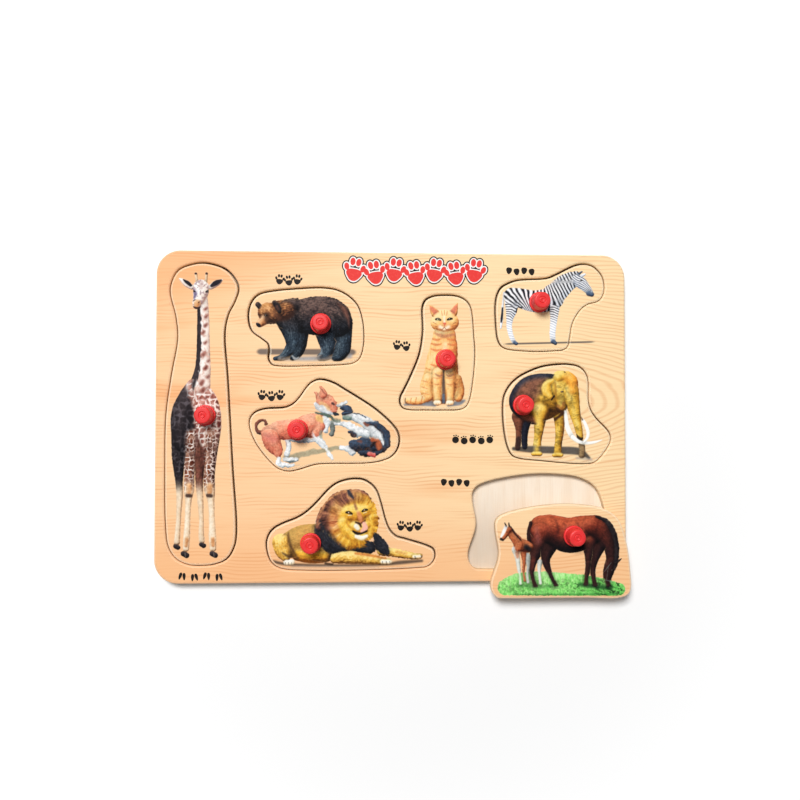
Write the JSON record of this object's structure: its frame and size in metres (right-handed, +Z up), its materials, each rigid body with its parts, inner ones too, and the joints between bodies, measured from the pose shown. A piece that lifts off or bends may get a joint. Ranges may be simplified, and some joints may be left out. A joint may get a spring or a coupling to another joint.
{
  "type": "peg puzzle",
  "caption": "Flat wooden tray with shaped recesses and a lift-out animal picture piece with a round peg for each; one piece lies on the tray beside its empty recess.",
  "frame": {"origin": "centre of the tray's flat underside", "axes": "+Z up out of the pictures, +X to the pictures' right, +Y to the pictures' top"},
  "size_m": [0.3016, 0.2205, 0.0246],
  "materials": {
    "backing_ply": "bare pale plywood",
    "panel_wood": "sanded plywood",
    "grain_print": "satin print",
    "blank_wood": "sanded plywood",
    "picture_print": "satin print",
    "peg_plastic": "moulded",
    "rivet_plastic": "moulded"
  },
  "bodies": {
    "tray": {"backing_board": "backing_ply", "frame_panel": "panel_wood", "frame_print": "grain_print"},
    "giraffe_piece": {"giraffe_blank": "blank_wood", "giraffe_print": "picture_print", "giraffe_peg": "peg_plastic", "giraffe_rivet": "rivet_plastic"},
    "bear_piece": {"bear_blank": "blank_wood", "bear_print": "picture_print", "bear_peg": "peg_plastic", "bear_rivet": "rivet_plastic"},
    "cat_piece": {"cat_blank": "blank_wood", "cat_print": "picture_print", "cat_peg": "peg_plastic", "cat_rivet": "rivet_plastic"},
    "zebra_piece": {"zebra_blank": "blank_wood", "zebra_print": "picture_print", "zebra_peg": "peg_plastic", "zebra_rivet": "rivet_plastic"},
    "dogs_piece": {"dogs_blank": "blank_wood", "dogs_print": "picture_print", "dogs_peg": "peg_plastic", "dogs_rivet": "rivet_plastic"},
    "elephant_piece": {"elephant_blank": "blank_wood", "elephant_print": "picture_print", "elephant_peg": "peg_plastic", "elephant_rivet": "rivet_plastic"},
    "lion_piece": {"lion_blank": "blank_wood", "lion_print": "picture_print", "lion_peg": "peg_plastic", "lion_rivet": "rivet_plastic"},
    "horses_piece": {"horses_blank": "blank_wood", "horses_print": "picture_print", "horses_peg": "peg_plastic", "horses_rivet": "rivet_plastic"}
  },
  "joints": [
    {"name": "giraffe_lift", "type": "slide", "parent": "tray", "child": "giraffe_piece", "axis": [0, 0, 1], "range_m": [0, 0.04]},
    {"name": "bear_lift", "type": "slide", "parent": "tray", "child": "bear_piece", "axis": [0, 0, 1], "range_m": [0, 0.04]},
    {"name": "cat_lift", "type": "slide", "parent": "tray", "child": "cat_piece", "axis": [0, 0, 1], "range_m": [0, 0.04]},
    {"name": "zebra_lift", "type": "slide", "parent": "tray", "child": "zebra_piece", "axis": [0, 0, 1], "range_m": [0, 0.04]},
    {"name": "dogs_lift", "type": "slide", "parent": "tray", "child": "dogs_piece", "axis": [0, 0, 1], "range_m": [0, 0.04]},
    {"name": "elephant_lift", "type": "slide", "parent": "tray", "child": "elephant_piece", "axis": [0, 0, 1], "range_m": [0, 0.04]},
    {"name": "lion_lift", "type": "slide", "parent": "tray", "child": "lion_piece", "axis": [0, 0, 1], "range_m": [0, 0.04]},
    {"name": "horses_lift", "type": "slide", "parent": "tray", "child": "horses_piece", "axis": [0, 0, 1], "range_m": [0, 0.04]}
  ]
}
